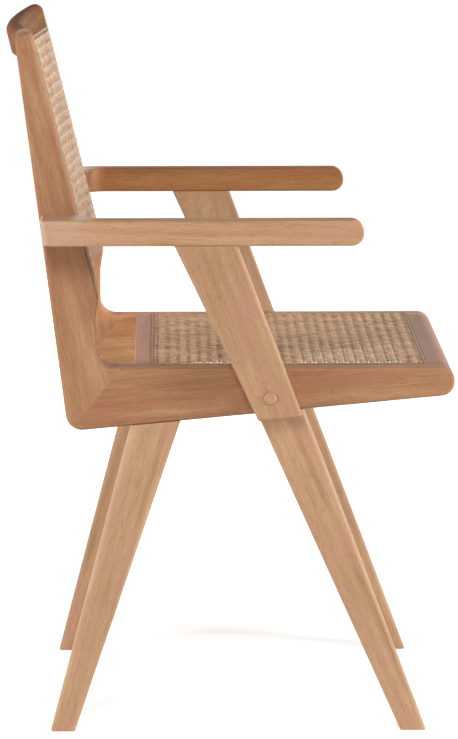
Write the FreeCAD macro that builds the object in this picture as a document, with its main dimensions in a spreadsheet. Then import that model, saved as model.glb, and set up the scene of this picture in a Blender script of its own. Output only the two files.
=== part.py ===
import FreeCAD, Part
import os
import Sketcher

# Dining armchair in oiled hardwood with a cane seat and a bowed cane back.
# Millimetres, +Z up, the sitter faces -Y, the sitter's left is +X.
# The origin is on the floor, below the middle of the chair's outer box.

doc = FreeCAD.newDocument("dining_armchair")
sheet = doc.addObject("Spreadsheet::Sheet", "Sizes")
near = 0.02  # places closer than this are taken as the same

sizes = {
    # side frames: a stile and a seat rail, mitred to one L; rises and drops are from the seat's top
    "frame_width": 460,
    "rail_thick": 34,
    "front_reach": 270,
    "seat_height": 447,
    "nose_height": 34,
    "nose_round": 16.5,
    "corner_back": 194,
    "corner_drop": 77.5,
    "corner_round": 20,
    "mitre_back": 130,
    "crook_back": 160.5,
    "crook_rise": 59,
    "crook_round": 20,
    "bend_round": 25,
    "knee_back": 156.5,
    "knee_rise": 84,
    "knee_round": 14,
    "arris": 2.5,
    "inner_arris": 1.5,
    # back: leans and is bowed away from the sitter
    "back_lean": 13.76,
    "back_height": 331.5,
    "stile_drop": 5,
    "stile_round": 8,
    "back_thick": 21,
    "back_bow": 18,
    "crest_round": 9.5,
    "crest_bevel": 12,
    "top_rail_height": 45,
    "bottom_rail_height": 38,
    "back_groove_inset": 11,
    # legs: tapered, under the seat rails, flush outside
    "leg_thick": 30,
    "front_leg_top": -33,
    "front_leg_top_width": 56,
    "front_foot": -207.6,
    "front_foot_width": 30.6,
    "rear_leg_top": 118,
    "rear_leg_top_width": 59,
    "rear_foot": 216.5,
    "rear_foot_width": 28.5,
    # arms and the posts that carry them outside the seat rails
    "arm_overhang": 60,
    "arm_width": 30,
    "arm_height": 30.5,
    "arm_rise": 154,
    "arm_reach": 157.5,
    "arm_nose_round": 14.5,
    "arm_neck_round": 25,
    "arm_heel_inset": 3,
    "arm_heel_round": 9,
    "arm_arris": 3,
    "post_thick": 27,
    "post_top": 66,
    "post_top_width": 74,
    "post_foot": -34,
    "post_foot_width": 53,
    "post_foot_drop": 5,
    "post_foot_round": 3,
    "post_bend_round": 60,
    # seat frame between the side rails
    "front_rail_depth": 50,
    "rear_rail_back": 114,
    "rear_rail_depth": 36,
    "rear_rail_height": 34,
    "side_groove_inset": 23,
    "front_groove_inset": 35,
    "rear_groove_inset": 22,
    "groove_width": 5,
    "groove_depth": 5,
    "spline_rise": 0.8,
    "spline_ease": 1.2,
    "cane_slit": 0.9,
    "cane_thick": 1.4,
    # loose tenons: thickness, width and length
    "tenon_fit": 0.1,
    "tenon_thick": 10,
    "tenon_ease": 1.5,
    "leg_tenon_width": 24,
    "leg_tenon_length": 50,
    "leg_tenon_shift": 6,
    "rail_tenon_width": 24,
    "rail_tenon_length": 40,
    "back_tenon_thick": 7,
    "back_tenon_set": 12.5,
    "back_tenon_width": 16,
    "back_tenon_length": 30,
    "arm_tenon_width": 28,
    "arm_tenon_length": 50,
    "post_tenon_width": 40,
    "post_tenon_length": 30,
    "mitre_tenon_width": 40,
    "mitre_tenon_length": 40,
    # bolt through each post into the seat rail, under a wooden button
    "bolt_back": -48,
    "bolt_drop": 33.5,
    "bolt_diameter": 5,
    "bolt_length": 31,
    "bolt_head": 8,
    "bolt_head_height": 3.5,
    "insert_width": 9,
    "insert_length": 15,
    "button_diameter": 15.5,
    "button_length": 6.5,
    "button_rise": 2.2,
    "button_ease": 1.6,
    # how far a cutting outline runs past the face that it opens
    "cut_clearance": 1,
}

for row, (alias, size) in enumerate(sizes.items(), 1):
    sheet.set(f"A{row}", alias)
    sheet.set(f"B{row}", str(size))
    sheet.setAlias(f"B{row}", alias)
doc.recompute()


def size_of(alias):
    return f"Sizes.{alias}"


def value(expression):
    return float(sheet.evalExpression(str(expression)))


def add(*terms):
    return "(" + " + ".join(str(term) for term in terms) + ")"


def less(first, *others):
    return "(" + " - ".join(str(term) for term in (first, *others)) + ")"


def times(*factors):
    return "(" + " * ".join(str(factor) for factor in factors) + ")"


def half(expression):
    return f"({expression} / 2)"


def minus(expression):
    return f"(-({expression}))"


# expressions that several pieces share
beyond = times(3, size_of("seat_height"))  # farther out than any piece reaches
past_face = minus(size_of("cut_clearance"))
outer = half(size_of("frame_width"))
inner = less(outer, size_of("rail_thick"))
arm_out = size_of("arm_overhang")
corner_height = less(size_of("seat_height"), size_of("corner_drop"))
crook_height = add(size_of("seat_height"), size_of("crook_rise"))
knee_height = add(size_of("seat_height"), size_of("knee_rise"))
arm_underside = add(size_of("seat_height"), size_of("arm_rise"))
bolt_height = less(size_of("seat_height"), size_of("bolt_drop"))
nose_front = minus(size_of("front_reach"))
nose_bottom = less(size_of("seat_height"), size_of("nose_height"))
lean_sin = f"sin({size_of('back_lean')} * 1 deg)"
lean_cos = f"cos({size_of('back_lean')} * 1 deg)"
arm_middle = add(arm_underside, half(size_of("arm_height")))
groove_half = half(size_of("groove_width"))
front_groove = add(nose_front, size_of("front_groove_inset"))
rear_groove = less(size_of("rear_rail_back"), size_of("rear_groove_inset"))
side_groove = less(outer, size_of("side_groove_inset"))
stile_top = less(size_of("back_height"), size_of("stile_drop"))
top_rail_foot = less(size_of("back_height"), size_of("top_rail_height"))
top_groove = add(top_rail_foot, size_of("back_groove_inset"))
bottom_groove = less(size_of("bottom_rail_height"), size_of("back_groove_inset"))
button_seat = add(less(size_of("button_length"), size_of("button_rise")), size_of("bolt_head_height"))
bow_radius = f"(({inner} ^ 2 + {size_of('back_bow')} ^ 2) / (2 * {size_of('back_bow')}))"
bow_centre = less(size_of("back_bow"), bow_radius)


def back_point(up, rearward):
    # a point of the leaning back: up along the stile's front edge, then square to it
    y = add(size_of("knee_back"), times(up, lean_sin), times(rearward, lean_cos))
    z = less(add(knee_height, times(up, lean_cos)), times(rearward, lean_sin))
    return y, z


def rail_underside(y):
    run = add(size_of("corner_back"), size_of("front_reach"))
    rise = less(nose_bottom, corner_height)
    return add(corner_height, f"{less(size_of('corner_back'), y)} * {rise} / {run}")


def stile_rear(z):
    top_y, top_z = back_point(stile_top, size_of("back_thick"))
    run = less(top_y, size_of("corner_back"))
    rise = less(top_z, corner_height)
    return add(size_of("corner_back"), f"{less(z, corner_height)} * {run} / {rise}")


def stile_front(z):
    rise = less(z, knee_height)
    return add(size_of("knee_back"), f"{rise} * {lean_sin} / {lean_cos}")


def mitre_point(along, across):
    # along the mitre from its middle towards the rear corner, and square to it
    run = less(size_of("corner_back"), size_of("mitre_back"))
    drop = less(size_of("seat_height"), corner_height)
    length = f"sqrt({run} ^ 2 + {drop} ^ 2)"
    middle_y = half(add(size_of("mitre_back"), size_of("corner_back")))
    middle_z = half(add(size_of("seat_height"), corner_height))
    y = add(middle_y, f"({times(along, run)} + {times(across, drop)}) / {length}")
    z = add(middle_z, f"({times(across, run)} - {times(along, drop)}) / {length}")
    return y, z


class Side:
    # one side of the chair: an outward distance becomes a place in a piece's own frame
    def __init__(self, name, sign):
        self.name = name
        self.sign = sign

    def start(self, inside, width):
        return inside if self.sign > 0 else minus(add(inside, width))

    def local(self, outward, width):
        return str(outward) if self.sign > 0 else less(width, outward)

    def place(self, distance):
        return str(distance) if self.sign > 0 else minus(distance)


sides = (Side("left", 1), Side("right", -1))


def new_body(label, x="0", y="0", z="0", leaning=False):
    body = doc.addObject("PartDesign::Body", label)
    body.Label = label
    if leaning:
        tilt = FreeCAD.Rotation(FreeCAD.Vector(-1, 0, 0), value(size_of("back_lean")))
        body.Placement = FreeCAD.Placement(FreeCAD.Vector(), tilt)
        body.setExpression("Placement.Rotation.Angle", f"{size_of('back_lean')} * 1 deg")
    for axis, place in (("x", x), ("y", y), ("z", z)):
        body.setExpression(f"Placement.Base.{axis}", str(place))
    return body


def leaning_body(label):
    return new_body(label, "0", size_of("knee_back"), knee_height, leaning=True)


def new_sketch(body, plane, offset):
    sketch = body.newObject("Sketcher::SketchObject", f"{body.Label}_sketch")
    support = next(f for f in body.Origin.OriginFeatures if f.Role == f"{plane}_Plane")
    sketch.AttachmentSupport = (support, [""])
    sketch.MapMode = "FlatFace"
    sketch.setExpression("AttachmentOffset.Base.z", str(offset))
    return sketch


def drive(sketch, kind, *places, by):
    # a dimension of the sketch that follows an expression of the sheet
    index = sketch.addConstraint(Sketcher.Constraint(kind, *places, value(by)))
    sketch.setExpression(f"Constraints[{index}]", str(by))


def polygon(body, plane, corners, offset="0"):
    sketch = new_sketch(body, plane, offset)
    points = [FreeCAD.Vector(value(u), value(v), 0) for u, v in corners]
    count = len(points)
    for i in range(count):
        sketch.addGeometry(Part.LineSegment(points[i], points[(i + 1) % count]))
    for i in range(count):
        sketch.addConstraint(Sketcher.Constraint("Coincident", i, 2, (i + 1) % count, 1))
    for i, (u, v) in enumerate(corners):
        drive(sketch, "DistanceX", -1, 1, i, 1, by=u)
        drive(sketch, "DistanceY", -1, 1, i, 1, by=v)
    return sketch


def rectangle(body, plane, u_middle, v_middle, u_size, v_size, offset="0"):
    u_low, u_high = less(u_middle, half(u_size)), add(u_middle, half(u_size))
    v_low, v_high = less(v_middle, half(v_size)), add(v_middle, half(v_size))
    corners = [(u_low, v_low), (u_high, v_low), (u_high, v_high), (u_low, v_high)]
    return polygon(body, plane, corners, offset)


def circle(body, plane, u, v, diameter, offset="0"):
    sketch = new_sketch(body, plane, offset)
    centre = FreeCAD.Vector(value(u), value(v), 0)
    sketch.addGeometry(Part.Circle(centre, FreeCAD.Vector(0, 0, 1), value(diameter) / 2))
    drive(sketch, "DistanceX", -1, 1, 0, 3, by=u)
    drive(sketch, "DistanceY", -1, 1, 0, 3, by=v)
    drive(sketch, "Diameter", 0, by=diameter)
    return sketch


def hexagon(body, plane, u, v, across_flats, offset="0"):
    to_corner = f"({across_flats} / sqrt(3))"
    turns = [f"{60 * corner} * 1 deg" for corner in range(6)]
    corners = [(add(u, times(to_corner, f"cos({turn})")), add(v, times(to_corner, f"sin({turn})")))
               for turn in turns]
    return polygon(body, plane, corners, offset)


def bowed_band(body, front, thick, reach=None, offset="0"):
    # plan of a piece that follows the bow; past the bow it runs straight to its reach
    sketch = new_sketch(body, "XY", offset)
    ends = value(inner)
    middle = FreeCAD.Vector(0, value(bow_centre), 0)
    front_radius = value(add(bow_radius, front))
    rear_radius = front_radius + value(thick)

    def arc(radius):
        height = middle.y + (radius ** 2 - ends ** 2) ** 0.5
        points = (FreeCAD.Vector(ends, height, 0), FreeCAD.Vector(0, middle.y + radius, 0),
                  FreeCAD.Vector(-ends, height, 0))
        return Part.Arc(*points), points[0], points[2]

    near_arc, near_right, near_left = arc(front_radius)
    far_arc, far_right, far_left = arc(rear_radius)
    sketch.addGeometry(near_arc)
    sketch.addGeometry(far_arc)
    for geometry, radius in ((0, add(bow_radius, front)), (1, add(bow_radius, front, thick))):
        drive(sketch, "DistanceX", -1, 1, geometry, 3, by="0")
        drive(sketch, "DistanceY", -1, 1, geometry, 3, by=bow_centre)
        drive(sketch, "Radius", geometry, by=radius)
        drive(sketch, "DistanceX", -1, 1, geometry, 1, by=inner)
        drive(sketch, "DistanceX", -1, 1, geometry, 2, by=minus(inner))
    for end, near_point, far_point in ((1, near_right, far_right), (2, near_left, far_left)):
        if reach is None:
            line = sketch.addGeometry(Part.LineSegment(near_point, far_point))
            sketch.addConstraint(Sketcher.Constraint("Coincident", 0, end, line, 1))
            sketch.addConstraint(Sketcher.Constraint("Coincident", 1, end, line, 2))
            continue
        out = value(reach) if end == 1 else -value(reach)
        chain = [near_point, FreeCAD.Vector(out, near_point.y, 0),
                 FreeCAD.Vector(out, far_point.y, 0), far_point]
        lines = [sketch.addGeometry(Part.LineSegment(a, b)) for a, b in zip(chain, chain[1:])]
        sketch.addConstraint(Sketcher.Constraint("Coincident", 0, end, lines[0], 1))
        sketch.addConstraint(Sketcher.Constraint("Coincident", lines[0], 2, lines[1], 1))
        sketch.addConstraint(Sketcher.Constraint("Coincident", lines[1], 2, lines[2], 1))
        sketch.addConstraint(Sketcher.Constraint("Coincident", 1, end, lines[2], 2))
        for line, kind in zip(lines, ("Horizontal", "Vertical", "Horizontal")):
            sketch.addConstraint(Sketcher.Constraint(kind, line))
        drive(sketch, "DistanceX", -1, 1, lines[1], 1, by=reach if end == 1 else minus(reach))
    return sketch


def pad(body, sketch, length, symmetric=False):
    feature = body.newObject("PartDesign::Pad", f"{body.Label}_pad")
    feature.Profile = sketch
    feature.SideType = "Symmetric" if symmetric else "One side"
    feature.setExpression("Length", str(length))
    doc.recompute()
    return feature


def pocket(body, sketch, length):
    # cuts half of the length to each side of the sketch's plane
    before = body.Tip.Shape.Volume
    feature = body.newObject("PartDesign::Pocket", f"{body.Label}_pocket")
    feature.Profile = sketch
    feature.SideType = "Symmetric"
    feature.setExpression("Length", str(length))
    doc.recompute()
    if not feature.Shape.Volume < before - near:
        raise RuntimeError(f"{body.Label}: a pocket cut nothing")
    return feature


def fillet(body, edges, radius):
    if not edges:
        raise RuntimeError(f"{body.Label}: no edge to round")
    base = body.Tip
    feature = body.newObject("PartDesign::Fillet", f"{body.Label}_fillet")
    feature.Base = (base, edges)
    feature.setExpression("Radius", str(radius))
    doc.recompute()
    return feature


def chamfer(body, edges, size):
    base = body.Tip
    feature = body.newObject("PartDesign::Chamfer", f"{body.Label}_chamfer")
    feature.Base = (base, edges)
    feature.setExpression("Size", str(size))
    doc.recompute()
    return feature


def edge_names(body, wanted):
    return [f"Edge{i}" for i, edge in enumerate(body.Tip.Shape.Edges, 1) if wanted(edge)]


def edge_middle(edge):
    return edge.valueAt((edge.FirstParameter + edge.LastParameter) / 2)


def round_corners(body, corners, radius, axes=("y", "z")):
    # edges that stand square on the outline's plane at the given corners
    places = [(value(u), value(v)) for u, v in corners]

    def at_corner(edge):
        ends = [(getattr(v.Point, axes[0]), getattr(v.Point, axes[1])) for v in edge.Vertexes]
        return any(all(abs(a - u) + abs(b - v) < near for a, b in ends) for u, v in places)

    return fillet(body, edge_names(body, at_corner), radius)


def flat_in(edge, axis):
    return getattr(edge.BoundBox, f"{axis.upper()}Length") < near


def lies_at(edge, axis, level):
    # true where the whole edge lies in one plane square to the axis
    return flat_in(edge, axis) and abs(getattr(edge_middle(edge), axis) - value(level)) < near


def loose_tenon(label, middle, sizes_xyz, along, leaning=False):
    # a flat stick with eased long edges, centred on the joint's face
    body = leaning_body(label) if leaning else new_body(label)
    x, y, z = middle
    x_size, y_size, z_size = sizes_xyz
    if along == "x":
        pad(body, rectangle(body, "YZ", y, z, y_size, z_size, x), x_size, symmetric=True)
        chamfer(body, edge_names(body, lambda e: not flat_in(e, "x")), size_of("tenon_ease"))
    else:
        pad(body, rectangle(body, "XY", x, y, x_size, y_size, z), z_size, symmetric=True)
        chamfer(body, edge_names(body, lambda e: not flat_in(e, "z")), size_of("tenon_ease"))
    return body


def loosened(expression):
    return add(expression, times(2, size_of("tenon_fit")))


# the outline of one side frame, which the stile and the seat rail share
stile_top_front = back_point(stile_top, "0")
stile_top_rear = back_point(stile_top, size_of("back_thick"))
rear_corner = (size_of("corner_back"), corner_height)
nose_low = (nose_front, nose_bottom)
nose_high = (nose_front, size_of("seat_height"))
crook_low = (size_of("crook_back"), size_of("seat_height"))
crook_high = (size_of("crook_back"), crook_height)
knee = (size_of("knee_back"), knee_height)
frame_outline = [stile_top_front, stile_top_rear, rear_corner, nose_low, nose_high,
                 crook_low, crook_high, knee]

# places of the joints that more than one piece is cut for
front_rail_middle = (add(nose_front, half(size_of("front_rail_depth"))),
                     less(size_of("seat_height"), half(size_of("nose_height"))))
rear_rail_middle = (less(size_of("rear_rail_back"), half(size_of("rear_rail_depth"))),
                    less(size_of("seat_height"), half(size_of("rear_rail_height"))))
seat_rail_joints = {"front": front_rail_middle, "rear": rear_rail_middle}
back_rail_joints = {
    "top": add(top_rail_foot, half(size_of("top_rail_height"))),
    "bottom": half(size_of("bottom_rail_height")),
}
back_tenon_rearward = size_of("back_tenon_set")
arm_joint = (half(add(stile_front(arm_middle), stile_rear(arm_middle))), arm_middle)
post_joint = less(size_of("post_top"), half(size_of("post_top_width")))
arm_centre_out = less(arm_out, half(size_of("arm_width")))


class Leg:
    # a leg's four corners, its top on the rail's underside, and its tenon's middle
    def __init__(self, name, top_rear, top_front, foot_rear, foot_front, shift):
        self.name = name
        self.corners = [(top_rear, rail_underside(top_rear)), (foot_rear, "0"),
                        (foot_front, "0"), (top_front, rail_underside(top_front))]
        self.tenon_y = add(half(add(top_rear, top_front)), shift)
        self.tenon_z = rail_underside(self.tenon_y)


legs = (
    Leg("front", size_of("front_leg_top"), less(size_of("front_leg_top"), size_of("front_leg_top_width")),
        size_of("front_foot"), less(size_of("front_foot"), size_of("front_foot_width")),
        minus(size_of("leg_tenon_shift"))),
    Leg("rear", size_of("rear_leg_top"), less(size_of("rear_leg_top"), size_of("rear_leg_top_width")),
        size_of("rear_foot"), less(size_of("rear_foot"), size_of("rear_foot_width")),
        size_of("leg_tenon_shift")),
)


def side_frame_blank(label, side):
    body = new_body(label, side.start(inner, size_of("rail_thick")))
    pad(body, polygon(body, "YZ", frame_outline), size_of("rail_thick"))
    return body


def cut_at_mitre(body, toward_rear):
    # takes away what lies beyond the mitre, above and behind it or below and before it
    reach = size_of("seat_height")
    upper, lower = mitre_point(minus(reach), "0"), mitre_point(reach, "0")
    first, second = (upper, lower) if toward_rear else (lower, upper)
    far = beyond if toward_rear else minus(beyond)
    waste = [first, second, (far, second[1]), (far, far), (first[0], far)]
    pocket(body, polygon(body, "YZ", waste), beyond)


def soften_frame(body, side):
    # eases the outer arrises more than the inner ones and leaves the mitre sharp
    along = [value(c) for c in mitre_point("1", "0")]
    start = [value(c) for c in mitre_point("0", "0")]
    faces = [(side.local(size_of("rail_thick"), size_of("rail_thick")), "arris"),
             (side.local("0", size_of("rail_thick")), "inner_arris")]

    def on_mitre(edge):
        point = edge_middle(edge)
        run, drop = along[0] - start[0], along[1] - start[1]
        return abs((point.y - start[0]) * drop - (point.z - start[1]) * run) < near

    for face, ease in faces:
        chamfer(body, edge_names(body, lambda e: lies_at(e, "x", face) and not on_mitre(e)), size_of(ease))


def mortise_mitre(body):
    along = half(loosened(size_of("mitre_tenon_width")))
    across = half(loosened(size_of("mitre_tenon_length")))
    corners = [mitre_point(a, c) for a, c in ((along, across), (along, minus(across)),
                                              (minus(along), minus(across)), (minus(along), across))]
    middle = half(size_of("rail_thick"))
    pocket(body, polygon(body, "YZ", corners, middle), loosened(size_of("tenon_thick")))


def build_seat_rail(side):
    thick = size_of("rail_thick")
    body = side_frame_blank(f"seat_rail_{side.name}", side)
    round_corners(body, [nose_low, nose_high], size_of("nose_round"))
    round_corners(body, [rear_corner], size_of("corner_round"))
    cut_at_mitre(body, toward_rear=True)
    soften_frame(body, side)
    mortise_mitre(body)
    # groove for the cane: along the rail and, at both ends, across to its inner face
    groove_out = less(size_of("rail_thick"), size_of("side_groove_inset"))
    inner_edge, outer_edge = less(groove_out, groove_half), add(groove_out, groove_half)
    ys = (less(front_groove, groove_half), add(front_groove, groove_half),
          less(rear_groove, groove_half), add(rear_groove, groove_half))
    track = [(outer_edge, ys[0]), (past_face, ys[0]), (past_face, ys[1]), (inner_edge, ys[1]),
             (inner_edge, ys[2]), (past_face, ys[2]), (past_face, ys[3]), (outer_edge, ys[3])]
    track = [(side.local(x, thick), y) for x, y in track]
    pocket(body, polygon(body, "XY", track, size_of("seat_height")), times(2, size_of("groove_depth")))
    # mortises: legs from below, cross rails from inside
    for leg in legs:
        x = side.local(less(thick, half(size_of("leg_thick"))), thick)
        pocket(body, rectangle(body, "XY", x, leg.tenon_y, loosened(size_of("tenon_thick")),
                               loosened(size_of("leg_tenon_width")), leg.tenon_z),
               loosened(size_of("leg_tenon_length")))
    for y, z in seat_rail_joints.values():
        pocket(body, rectangle(body, "YZ", y, z, loosened(size_of("rail_tenon_width")),
                               loosened(size_of("tenon_thick")), side.local("0", thick)),
               loosened(size_of("rail_tenon_length")))
    # seat for the threaded insert
    pocket(body, hexagon(body, "YZ", size_of("bolt_back"), bolt_height,
                         loosened(size_of("insert_width")), side.local(thick, thick)),
           times(2, size_of("insert_length")))


def build_stile(side):
    thick = size_of("rail_thick")
    body = side_frame_blank(f"back_stile_{side.name}", side)
    round_corners(body, [stile_top_front, stile_top_rear], size_of("stile_round"))
    round_corners(body, [rear_corner], size_of("corner_round"))
    round_corners(body, [crook_low], size_of("crook_round"))
    round_corners(body, [crook_high], size_of("bend_round"))
    round_corners(body, [knee], size_of("knee_round"))
    cut_at_mitre(body, toward_rear=False)
    soften_frame(body, side)
    mortise_mitre(body)
    # groove for the cane: along the stile and, at both ends, across to its inner face
    depth = size_of("groove_depth")
    low, high = less(bottom_groove, groove_half), add(top_groove, groove_half)
    groove_out = less(thick, size_of("side_groove_inset"))

    def channel(from_up, to_up, out_middle, width):
        corners = [back_point(from_up, minus(depth)), back_point(to_up, minus(depth)),
                   back_point(to_up, depth), back_point(from_up, depth)]
        pocket(body, polygon(body, "YZ", corners, side.local(out_middle, thick)), width)

    channel(low, high, groove_out, size_of("groove_width"))
    for middle in (bottom_groove, top_groove):
        channel(less(middle, groove_half), add(middle, groove_half), half(groove_out), groove_out)
    # mortises: back rails from inside, the arm from outside
    up_half = half(loosened(size_of("back_tenon_width")))
    rear_half = half(loosened(size_of("back_tenon_thick")))
    for up in back_rail_joints.values():
        corners = [back_point(add(up, a), add(back_tenon_rearward, b))
                   for a, b in ((minus(up_half), minus(rear_half)), (up_half, minus(rear_half)),
                                (up_half, rear_half), (minus(up_half), rear_half))]
        pocket(body, polygon(body, "YZ", corners, side.local("0", thick)),
               loosened(size_of("back_tenon_length")))
    pocket(body, rectangle(body, "YZ", arm_joint[0], arm_joint[1], loosened(size_of("arm_tenon_width")),
                           loosened(size_of("tenon_thick")), side.local(thick, thick)),
           loosened(size_of("arm_tenon_length")))


def build_leg(side, leg):
    thick = size_of("leg_thick")
    body = new_body(f"{leg.name}_leg_{side.name}", side.start(less(outer, thick), thick))
    pad(body, polygon(body, "YZ", leg.corners), thick)

    def long_arris(edge):
        return flat_in(edge, "x") and edge.BoundBox.ZLength > value(half(corner_height))

    chamfer(body, edge_names(body, long_arris), size_of("arris"))
    pocket(body, rectangle(body, "XY", half(thick), leg.tenon_y, loosened(size_of("tenon_thick")),
                           loosened(size_of("leg_tenon_width")), leg.tenon_z),
           loosened(size_of("leg_tenon_length")))


def build_post(side):
    body = new_body(f"arm_post_{side.name}", side.start(outer, arm_out))
    top, seat = arm_underside, size_of("seat_height")
    thick = size_of("post_thick")
    foot_front = less(size_of("post_foot"), size_of("post_foot_width"))
    foot_corners = [(y, less(rail_underside(y), size_of("post_foot_drop")))
                    for y in (foot_front, size_of("post_foot"))]
    top_front = less(size_of("post_top"), size_of("post_top_width"))
    outline = [(size_of("post_top"), top), (top_front, top), *foot_corners]
    pad(body, polygon(body, "YZ", outline), arm_out)
    # seen from the front the post lies flat on the rail, then leans out to the arm
    top_in = less(arm_centre_out, half(thick))
    top_out = add(top_in, thick)
    above, below = add(top, thick), "0"
    inside = [("0", seat), (top_in, top), (top_in, above), (past_face, above), (past_face, seat)]
    outside = [(thick, below), (thick, seat), (top_out, top), (top_out, above),
               (add(arm_out, thick), above), (add(arm_out, thick), below)]
    for waste in (inside, outside):
        corners = [(side.local(x, arm_out), z) for x, z in waste]
        pocket(body, polygon(body, "XZ", corners), beyond)
    round_corners(body, [(side.local("0", arm_out), seat), (side.local(thick, arm_out), seat)],
                  size_of("post_bend_round"), axes=("x", "z"))
    round_corners(body, foot_corners, size_of("post_foot_round"))
    centre_line = value(half(add(side.local("0", arm_out), side.local(thick, arm_out))))
    bend = value(seat)

    def foot_arris(edge, outward):
        middle = edge_middle(edge)
        faces_out = (middle.x - centre_line) * side.sign > 0
        long = edge.Length > value(half(size_of("post_foot_width")))
        return flat_in(edge, "x") and middle.z < bend and long and faces_out == outward

    chamfer(body, edge_names(body, lambda e: foot_arris(e, True)), size_of("arris"))
    chamfer(body, edge_names(body, lambda e: foot_arris(e, False)), size_of("inner_arris"))
    # mortise for the arm, then the bolt's hole and the button's seat
    pocket(body, rectangle(body, "XY", side.local(arm_centre_out, arm_out), post_joint,
                           loosened(size_of("tenon_thick")), loosened(size_of("post_tenon_width")), top),
           loosened(size_of("post_tenon_length")))
    face = side.local(thick, arm_out)
    pocket(body, circle(body, "YZ", size_of("bolt_back"), bolt_height,
                        size_of("button_diameter"), face), times(2, button_seat))
    pocket(body, circle(body, "YZ", size_of("bolt_back"), bolt_height,
                        loosened(size_of("bolt_diameter")), face), beyond)


def build_arm(side):
    body = new_body(f"arm_{side.name}", side.start(outer, arm_out), "0", arm_underside)
    height, clearance = size_of("arm_height"), size_of("cut_clearance")
    top = add(arm_underside, height)
    front, neck = minus(size_of("arm_reach")), stile_front(arm_middle)

    def heel(z):
        return less(stile_rear(z), size_of("arm_heel_inset"))

    rear = heel(add(top, clearance))
    arm_in = less(arm_out, size_of("arm_width"))
    outline = [(arm_out, rear), ("0", rear), ("0", neck), (arm_in, neck), (arm_in, front), (arm_out, front)]
    outline = [(side.local(x, arm_out), y) for x, y in outline]
    pad(body, polygon(body, "XY", outline), height)
    # the heel is cut to the lean of the stile's rear edge
    above, below = add(height, clearance), past_face
    foot = heel(less(arm_underside, clearance))
    waste = [(foot, below), (rear, above), (beyond, above), (beyond, below)]
    pocket(body, polygon(body, "YZ", waste), beyond)
    round_corners(body, [outline[3]], size_of("arm_neck_round"), axes=("x", "y"))

    def heel_corner(edge):
        on_outside = lies_at(edge, "x", side.local(arm_out, arm_out))
        return on_outside and not flat_in(edge, "z") and edge_middle(edge).y > value(neck)

    fillet(body, edge_names(body, heel_corner), size_of("arm_heel_round"))
    round_corners(body, [(front, "0"), (front, height)], size_of("arm_nose_round"))
    contact = side.local("0", arm_out)
    heel_ends = [heel(arm_underside), heel(top)]

    def long_arris(edge):
        on_stile = lies_at(edge, "x", contact)
        at_heel = any(lies_at(edge, "y", end) for end in heel_ends)
        long = edge.Length > value(size_of("arm_neck_round"))
        return flat_in(edge, "z") and long and not on_stile and not at_heel

    fillet(body, edge_names(body, long_arris), size_of("arm_arris"))
    pocket(body, rectangle(body, "XY", side.local(arm_centre_out, arm_out), post_joint,
                           loosened(size_of("tenon_thick")), loosened(size_of("post_tenon_width"))),
           loosened(size_of("post_tenon_length")))
    pocket(body, rectangle(body, "YZ", arm_joint[0], half(height), loosened(size_of("arm_tenon_width")),
                           loosened(size_of("tenon_thick")), side.local("0", arm_out)),
           loosened(size_of("arm_tenon_length")))


def build_cross_rail(name, corners, rounded, groove):
    # a seat rail between the side frames, grooved on top for the cane
    body = new_body(f"seat_{name}_rail")
    length = times(2, inner)
    pad(body, polygon(body, "YZ", corners), length, symmetric=True)
    for corner, radius in rounded:
        round_corners(body, [corner], radius)
    pocket(body, rectangle(body, "XY", "0", groove, beyond, size_of("groove_width"),
                           size_of("seat_height")), times(2, size_of("groove_depth")))
    y, z = seat_rail_joints[name]
    for side in sides:
        pocket(body, rectangle(body, "YZ", y, z, loosened(size_of("rail_tenon_width")),
                               loosened(size_of("tenon_thick")), side.place(inner)),
               loosened(size_of("rail_tenon_length")))


def build_seat_rails():
    seat = size_of("seat_height")
    back = add(nose_front, size_of("front_rail_depth"))
    corners = [nose_high, nose_low, (back, nose_bottom), (back, seat)]
    rounded = [(nose_high, size_of("nose_round")), (nose_low, size_of("nose_round")),
               ((back, nose_bottom), size_of("arris"))]
    build_cross_rail("front", corners, rounded, front_groove)
    rear = size_of("rear_rail_back")
    front = less(rear, size_of("rear_rail_depth"))
    low = less(seat, size_of("rear_rail_height"))
    corners = [(rear, seat), (rear, low), (front, low), (front, seat)]
    rounded = [(corner, size_of("arris")) for corner in corners[:3]]
    build_cross_rail("rear", corners, rounded, rear_groove)


def build_back_rail(name, foot, height, groove, crested):
    body = leaning_body(f"back_{name}_rail")
    pad(body, bowed_band(body, "0", size_of("back_thick"), offset=foot), height)
    top, low = add(foot, height), foot

    middle = value(add(size_of("back_bow"), half(size_of("back_thick"))))

    def lengthwise(edge, level):
        return lies_at(edge, "z", level) and edge.BoundBox.XLength > value(inner)

    def low_arris(edge, behind):
        return lengthwise(edge, low) and (edge_middle(edge).y > middle) == behind

    if crested:
        fillet(body, edge_names(body, lambda e: lengthwise(e, top)), size_of("crest_round"))
        chamfer(body, edge_names(body, lambda e: low_arris(e, False)), size_of("arris"))
        chamfer(body, edge_names(body, lambda e: low_arris(e, True)), size_of("crest_bevel"))
    else:
        chamfer(body, edge_names(body, lambda e: lengthwise(e, low) or lengthwise(e, top)), size_of("arris"))
    depth = size_of("groove_depth")
    pocket(body, bowed_band(body, minus(depth), times(2, depth), offset=groove), size_of("groove_width"))
    for side in sides:
        pocket(body, rectangle(body, "YZ", back_tenon_rearward, back_rail_joints[name],
                               loosened(size_of("back_tenon_thick")), loosened(size_of("back_tenon_width")),
                               side.place(inner)), loosened(size_of("back_tenon_length")))


# a spline is pushed to the groove's outer wall, and the cane goes down the slit inside it
spline_width = less(size_of("groove_width"), times(2, size_of("tenon_fit")), size_of("cane_slit"))
spline_shift = half(size_of("cane_slit"))
spline_height = add(size_of("groove_depth"), size_of("spline_rise"))
groove_floor = less(size_of("seat_height"), size_of("groove_depth"))
spline_end = less(add(side_groove, groove_half), size_of("tenon_fit"))


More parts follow.
